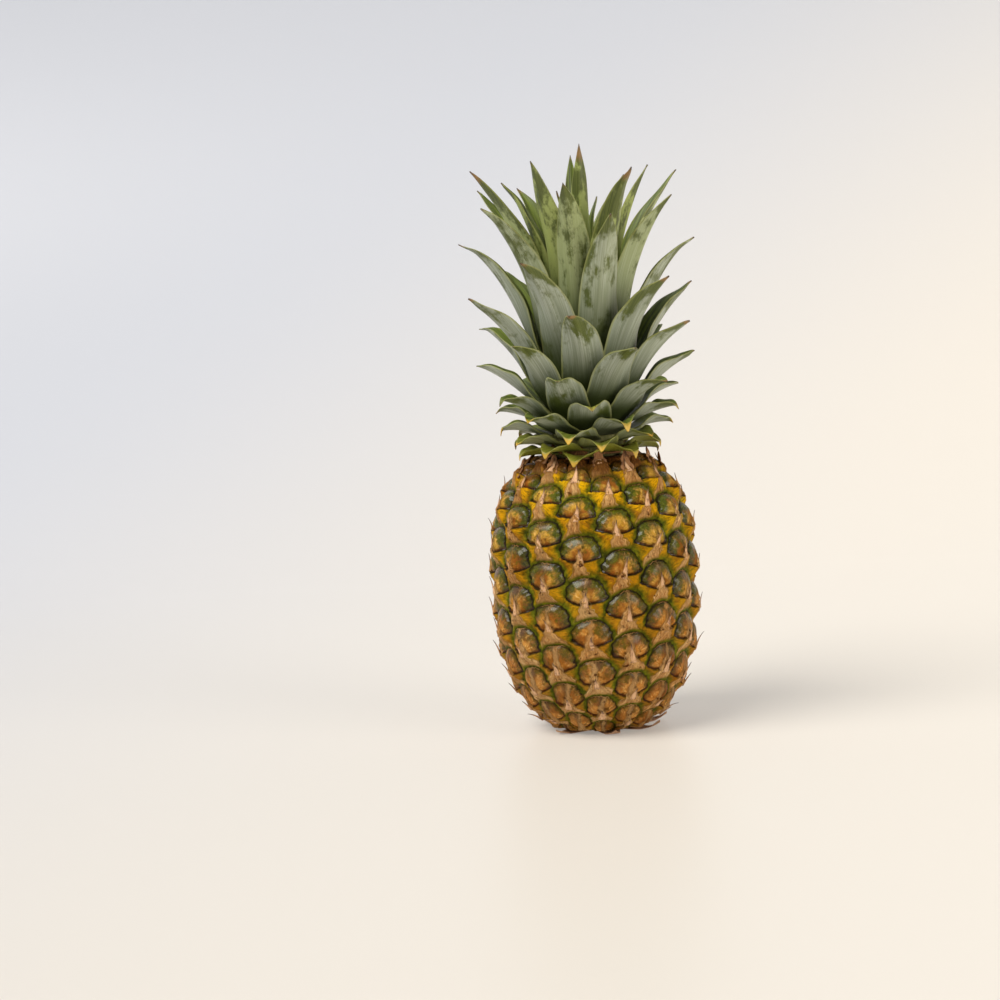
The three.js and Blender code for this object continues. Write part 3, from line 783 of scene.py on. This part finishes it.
def leaf_blade(rank, side, is_collar):
    """Points, faces and surface values of one leaf, on the same curve as its solid."""
    tip_radius, tip_rise, root_angle, tip_angle, tip_pull, leaf_width, taper = (
        np.interp(rank, LEAF_FORMS[:, 0], LEAF_FORMS[:, k]) for k in range(1, 8)
    )
    number = 2 * rank + side
    root = LOWEST_ROOT + ROOT_RISE * rank
    start = np.array([ROOT_CLEARANCE * (stem_radius(root) + FIT_GAP + ROOT_THICKNESS / 2), root])
    if is_collar:
        start = start - ROOT_DEPTH * heading(root_angle)
    tip = start + (np.array([tip_radius, tip_rise]) - start) * (1 + REACH_SPREAD * scatter(number, 3))
    chord = np.linalg.norm(tip - start)
    from_root = start + heading(root_angle) * ROOT_PULL * chord
    to_tip = tip - heading(tip_angle) * tip_pull * chord
    t = np.linspace(0, 1, LEAF_STATIONS)[:, None]
    s = 1 - t
    route = s ** 3 * start + 3 * s ** 2 * t * from_root + 3 * s * t ** 2 * to_tip + t ** 3 * tip
    rate = s ** 2 * (from_root - start) + 2 * s * t * (to_tip - from_root) + t ** 2 * (tip - to_tip)
    rate /= np.linalg.norm(rate, axis=1)[:, None]
    radius, height = route[:, :1], route[:, 1:]
    past = np.maximum(0, (t - WIDEST_AT) / (1 - WIDEST_AT))
    wrap = COLLAR_WRAP if is_collar else WRAP
    width = np.minimum(leaf_width * (1 - past ** taper), wrap * radius) + TIP_WIDTH * (1 - 0.8 * t ** 12)
    opened = smooth(t, 0.25, 0.6)
    middle = ROOT_THICKNESS + (BLADE_THICKNESS * (1 - past / 2) - ROOT_THICKNESS) * smooth(t, 0.05, 0.35)
    v = np.linspace(-1, 1, LEAF_COLUMNS)[None, :]
    azimuth = FRONT_AZIMUTH + LEAF_DIVERGENCE * (FRONT_RANK - rank) + PAIR_TURN * side
    azimuth = math.radians(azimuth + AZIMUTH_SPREAD * scatter(number, 4))
    sway = math.radians(BEND_SPREAD * scatter(number, 5))
    turned = azimuth + sway * t ** 2 + v * width / 2 / radius
    hook = chance(number, 9) - (0.9 if rank < DROOPING_RANKS else 0.6)
    curl = TIP_CURL * smooth(t, 0.86, 1) ** 1.5 * hook
    wave = np.sin(2 * math.pi * (3.2 * t + chance(number, 10)))
    ruffle = RUFFLE * wave * np.abs(v) ** 4 * smooth(t, 0.3, 0.7)
    twist = TWIST * width * v * scatter(number, 6) * smooth(t, 0.4, 1)
    channel = CHANNEL * width * opened * np.abs(v) ** 1.4 + ruffle + twist + curl
    thickness = EDGE_THICKNESS * (1 - 0.4 * t) + (middle - EDGE_THICKNESS) * (1 - v ** 2)
    keel = KEEL * np.exp(-(v / 0.12) ** 2) * opened * (1 - t)

    def face(above):
        lift = channel + (thickness / 2 - keel if above else -thickness / 2 - keel)
        out = radius - rate[:, 1:] * lift
        z = CROWN_SEAT_Z + height + rate[:, :1] * lift
        return np.stack([out * np.sin(turned), -out * np.cos(turned), z], axis=-1)

    points, faces = blade_mesh(face(True), face(False))
    wide = np.broadcast_to(v, (LEAF_STATIONS, LEAF_COLUMNS))
    one = np.ones_like(wide)

    def both(above, below):
        return np.concatenate([above, below], axis=1).ravel()

    fields = {
        "leaf_along": both(one * t, one * t),
        "leaf_across": both(wide, wide[:, ::-1]),
        "leaf_inside": both(one, 0 * one),
        "leaf_width": both(one * width, one * width),
        "leaf_length": both(one * chord, one * chord),
        "leaf_tone": np.full(2 * wide.size, chance(number, 11)),
        "leaf_rank": np.full(2 * wide.size, rank / LEAF_RANKS),
    }
    return points, faces, fields


def leaf_material():
    material, tree, shader = new_material("crown leaf")
    along = surface_value(tree, "leaf_along")
    across = surface_value(tree, "leaf_across")
    inside = surface_value(tree, "leaf_inside")
    width = surface_value(tree, "leaf_width")
    length = surface_value(tree, "leaf_length")
    tone = surface_value(tree, "leaf_tone")
    rank = surface_value(tree, "leaf_rank")
    seed = times(tree, tone, 70.0)
    aside = times(tree, times(tree, across, width), 0.5)
    ahead = times(tree, along, length)
    streak, band = fibres(tree, aside, times(tree, ahead, 0.025), seed, 3.6)
    on_blade = coordinates(tree, times(tree, aside, 0.11), times(tree, ahead, 0.045), seed)
    scuffs = blotches(tree, on_blade, 1.0, 6.0, 0.68)
    here = put(tree, "ShaderNodeTexCoord").outputs["Object"]
    specks = blotches(tree, here, 700.0, 3.0, 0.6)

    # outside: green under a silver bloom, rubbed off in patches and towards the tip
    green = mix(tree, ease(tree, streak, 0.3, 0.7), paint("#434d1a"), paint("#666f30"))
    silver = mix(tree, ease(tree, streak, 0.25, 0.75), paint("#848b77"), paint("#bcc2b0"))
    silver = mix(tree, times(tree, ease(tree, band, 0.6, 0.35), 0.55), silver, paint("#7e866a"))
    silver = mix(tree, ease(tree, rank, 0.66, 0.92), silver, paint("#a5b062"))
    rubbed = reckon(tree, "ADD", scuffs, times(tree, ease(tree, along, 0.5, 1.0), 0.16))
    outside = mix(tree, ease(tree, rubbed, 0.52, 0.66), silver, green)
    within = mix(tree, ease(tree, band, 0.3, 0.7), paint("#36410f"), paint("#71802f"))
    # painted shade: the outside of each leaf is darkened towards its root, more on the higher leaves
    root_shade = reckon(tree, "ADD", times(tree, ease(tree, rank, 0.1, 0.4), 0.7), 0.3)
    root_shade = times(tree, root_shade, ease(tree, along, 0.66, 0.18))
    outside = mix(tree, root_shade, outside, paint("#3b451f"))
    leaf = mix(tree, inside, outside, within)
    margin = ease(tree, reckon(tree, "ABSOLUTE", across), 0.9, 0.98)
    leaf = mix(tree, times(tree, margin, 0.5), leaf, paint("#9a9a56"))

    # the short lowest leaves are yellow-green, with pale hooked tips
    young = mix(tree, ease(tree, streak, 0.3, 0.7), paint("#686c1c"), paint("#949434"))
    leaf = mix(tree, ease(tree, rank, 0.3, 0.05), leaf, young)
    hooked = times(tree, ease(tree, along, 0.86, 0.96), ease(tree, rank, 0.42, 0.25))
    leaf = mix(tree, hooked, leaf, paint("#c9a238"))

    # the longer leaves end in a dry brown tip
    dry_from = reckon(tree, "SUBTRACT", 0.985, times(tree, ease(tree, tone, 0.6, 1.0), 0.05))
    dried = reckon(tree, "ADD", along, swing(tree, streak, 0.09))
    dry = ease(tree, reckon(tree, "SUBTRACT", dried, dry_from), -0.015, 0.02)
    dry = times(tree, dry, ease(tree, rank, 0.25, 0.42))
    straw = mix(tree, ease(tree, along, 0.97, 1.0), paint("#86683a"), paint("#48341e"))
    leaf = mix(tree, dry, leaf, straw)
    leaf = mix(tree, times(tree, ease(tree, specks, 0.66, 0.75), 0.3), leaf, paint("#5a5138"))
    tree.links.new(leaf, shader.inputs["Base Color"])

    roughness = reckon(tree, "SUBTRACT", 0.48, times(tree, ease(tree, rubbed, 0.5, 0.7), 0.1))
    tree.links.new(roughness, shader.inputs["Roughness"])
    height = reckon(tree, "ADD", streak, times(tree, specks, 0.25))
    bump = put(tree, "ShaderNodeBump", {"Strength": 0.35, "Distance": 0.0005, "Height": height})
    tree.links.new(bump.outputs["Normal"], shader.inputs["Normal"])
    shader.inputs["Specular IOR Level"].default_value = 0.5
    return material


crown_leaf = leaf_material()
for rank in range(LEAF_RANKS):
    for side in (0, 1):
        is_collar = rank < COLLAR_RANKS
        number = 2 * (rank - COLLAR_RANKS) + side + 1
        name = f"collar_leaf_{2 * rank + side + 1:02d}" if is_collar else f"crown_leaf_{number:02d}"
        leaf = mesh_piece(name, *leaf_blade(rank, side, is_collar), crown_leaf)
        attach(leaf, "root")
        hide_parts("crown_stem" if is_collar else f"leaf_{number:02d}")

# The floor is one pale sheet of matt card, laid flat under the fruit and curved up behind it as a backdrop.
# Painted light: it glows of its own, more up the backdrop, and shades from cool and dim at the left to warm
# and bright at the right.
FLOOR_FRONT = -8.0  # the floor, the lights and the camera are placed in metres
FLOOR_BACK = 1.4
FLOOR_HALF_WIDTH = 8.0
BEND_RADIUS = 0.8
BEND_STEPS = 16
WALL_TOP = 3.0


def floor_mesh():
    profile = [(FLOOR_FRONT, 0.0), (FLOOR_BACK - BEND_RADIUS, 0.0)]
    for k in range(1, BEND_STEPS + 1):
        turn = math.pi / 2 * k / BEND_STEPS
        y = FLOOR_BACK - BEND_RADIUS * (1 - math.sin(turn))
        profile.append((y, BEND_RADIUS * (1 - math.cos(turn))))
    profile.append((FLOOR_BACK, WALL_TOP))
    points = [(x / MM, y / MM, z / MM) for y, z in profile for x in (-FLOOR_HALF_WIDTH, FLOOR_HALF_WIDTH)]
    faces = [(2 * k, 2 * k + 1, 2 * k + 3, 2 * k + 2) for k in range(len(profile) - 1)]
    return points, faces, {}


def floor_material():
    material, tree, shader = new_material("pale floor")
    here = put(tree, "ShaderNodeTexCoord").outputs["Object"]
    where = put(tree, "ShaderNodeSeparateXYZ", {0: here}).outputs
    lean = reckon(tree, "SUBTRACT", where["X"], times(tree, where["Y"], 0.3))
    lean = reckon(tree, "SUBTRACT", lean, times(tree, where["Z"], 1.4))
    # painted light: the card turns warmer and glows brighter towards the right
    warm_painted_light = ease(tree, lean, -1.1, 0.1)
    tree.links.new(mix(tree, warm_painted_light, paint("#b0b2b7"), paint("#bab4aa")), shader.inputs["Base Color"])
    tree.links.new(mix(tree, warm_painted_light, paint("#b0b5c0"), paint("#f0ebe4")), shader.inputs["Emission Color"])
    # painted light: the card glows though it is no lamp, more up the backdrop
    painted_glow = reckon(tree, "ADD", times(tree, ease(tree, where["Z"], 0.0, 0.7), 0.09), 0.285)
    tree.links.new(painted_glow, shader.inputs["Emission Strength"])
    shader.inputs["Roughness"].default_value = 0.4
    shader.inputs["Specular IOR Level"].default_value = 0.3
    return material


floor = mesh_piece("floor", *floor_mesh(), floor_material())

# The light is that of a soft studio: a broad key lamp high at the left front, a weaker warm lamp low at
# the right, and a pale room all round.
KEY_STRENGTH = 3.45
KEY_SPREAD = 40
KEY_COLOUR = (1.0, 0.97, 0.93)
KEY_FROM = (-0.78, -0.52, 1.2)
FILL_POWER = 17
FILL_SIZE = 1.0
FILL_COLOUR = (1.0, 0.95, 0.87)
FILL_FROM = (1.4, -1.1, 0.6)
FILL_AIM = (0, 0, 0.12)
ROOM_COLOUR = (1.0, 0.98, 0.95, 1)
ROOM_STRENGTH = 0.24


def aimed(name, light, place, aim):
    holder = bpy.data.objects.new(name, light)
    holder.location = place
    holder.rotation_euler = (Vector(aim) - Vector(place)).to_track_quat("-Z", "Y").to_euler()
    bpy.context.scene.collection.objects.link(holder)


key = bpy.data.lights.new("key_light", "SUN")
key.energy = KEY_STRENGTH
key.angle = math.radians(KEY_SPREAD)
key.color = KEY_COLOUR
aimed("key_light", key, KEY_FROM, (0, 0, 0))
fill = bpy.data.lights.new("fill_light", "AREA")
fill.size = FILL_SIZE
fill.energy = FILL_POWER
fill.color = FILL_COLOUR
aimed("fill_light", fill, FILL_FROM, FILL_AIM)
room = bpy.data.worlds.new("pale room")
room.use_nodes = True
room.node_tree.nodes["Background"].inputs["Color"].default_value = ROOM_COLOUR
room.node_tree.nodes["Background"].inputs["Strength"].default_value = ROOM_STRENGTH
bpy.context.scene.world = room
bpy.context.scene.view_settings.view_transform = "Standard"

# The camera stands in front of the fruit with a long lens, a little above it and looking slightly down.
# It is rolled by a few degrees, so that the upright fruit leans a little in its picture.
CAMERA_AIM = (-0.053, 0, 0.136)
CAMERA_DISTANCE = 1.379
CAMERA_ELEVATION = 6.5
CAMERA_ROLL = 3
CAMERA_LENS = 85
SENSOR_WIDTH = 36

camera = bpy.data.cameras.new("camera")
camera.lens = CAMERA_LENS
camera.sensor_width = SENSOR_WIDTH
tripod = bpy.data.objects.new("camera", camera)
tilt = math.radians(CAMERA_ELEVATION)
back = Vector((0, -math.cos(tilt), math.sin(tilt)))
facing = (-back).to_track_quat("-Z", "Y").to_matrix().to_4x4()
roll = Matrix.Rotation(math.radians(-CAMERA_ROLL), 4, "Z")
tripod.matrix_world = Matrix.Translation(Vector(CAMERA_AIM) + back * CAMERA_DISTANCE) @ facing @ roll
bpy.context.scene.collection.objects.link(tripod)
bpy.context.scene.camera = tripod
